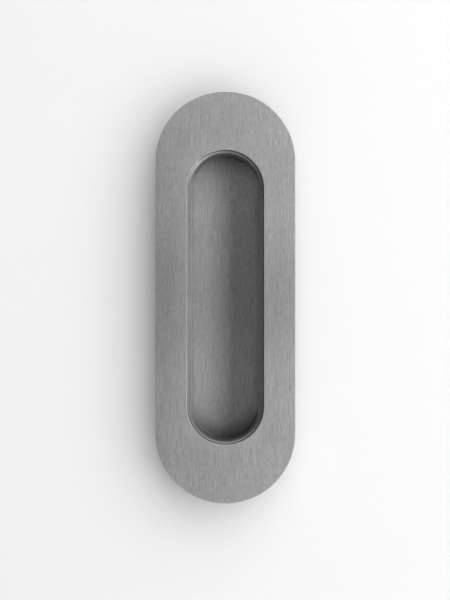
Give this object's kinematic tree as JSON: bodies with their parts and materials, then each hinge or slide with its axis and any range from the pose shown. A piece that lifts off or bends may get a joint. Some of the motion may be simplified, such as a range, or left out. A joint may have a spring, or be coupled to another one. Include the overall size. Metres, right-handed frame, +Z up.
{
  "type": "pocket door pull",
  "caption": "Flush finger pull for a sliding pocket door: a round-ended brushed steel plate with a drawn cup recessed behind it, bedded in a pocket in the door.",
  "frame": {"origin": "middle of the plate's back, in the plane of the door's face", "axes": "+Z up along the pull's length, -Y out of the door towards the user, +X to the user's right"},
  "size_m": [0.04, 0.012, 0.118],
  "materials": {
    "plate_steel": "satin stainless steel, brushed along its length",
    "cup_steel": "satin stainless sheet, brushed along its length before it was drawn"
  },
  "bodies": {
    "root": {"face_plate": "plate_steel", "recess_cup": "cup_steel"}
  },
  "joints": []
}
